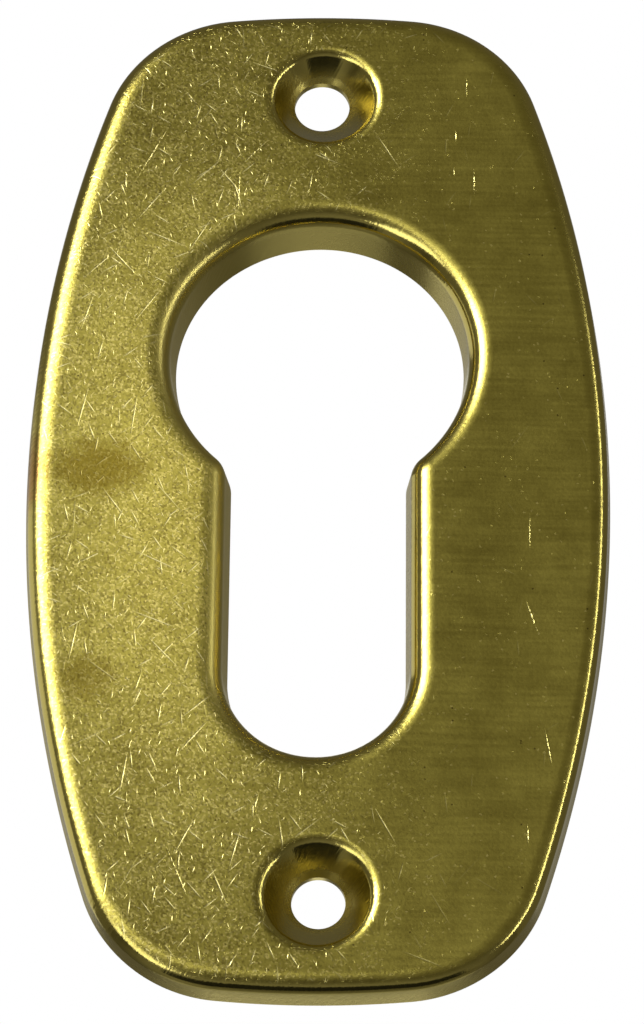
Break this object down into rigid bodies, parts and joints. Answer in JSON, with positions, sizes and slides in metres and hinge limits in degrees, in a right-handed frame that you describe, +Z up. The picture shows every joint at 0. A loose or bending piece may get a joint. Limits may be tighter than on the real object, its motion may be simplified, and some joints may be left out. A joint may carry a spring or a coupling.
{
  "type": "keyhole escutcheon",
  "caption": "Pressed brass plate that trims a door lock's cylinder hole: bowed outline, folded skirt, keyhole with a drawn collar, dimpled screw holes.",
  "frame": {"origin": "middle of the plate's outline, in the plane of the skirt's back rim, which is the door's surface", "axes": "+Z up the door, along the plate, with the keyhole's round end up; +Y into the door, so the polished face looks towards -Y; +X to the right as one faces the plate"},
  "size_m": [0.035, 0.0036, 0.0644],
  "materials": {
    "brass": "polished brass gone dull and olive with age, finely scratched"
  },
  "bodies": {
    "root": {"escutcheon_plate": "brass"}
  },
  "joints": []
}
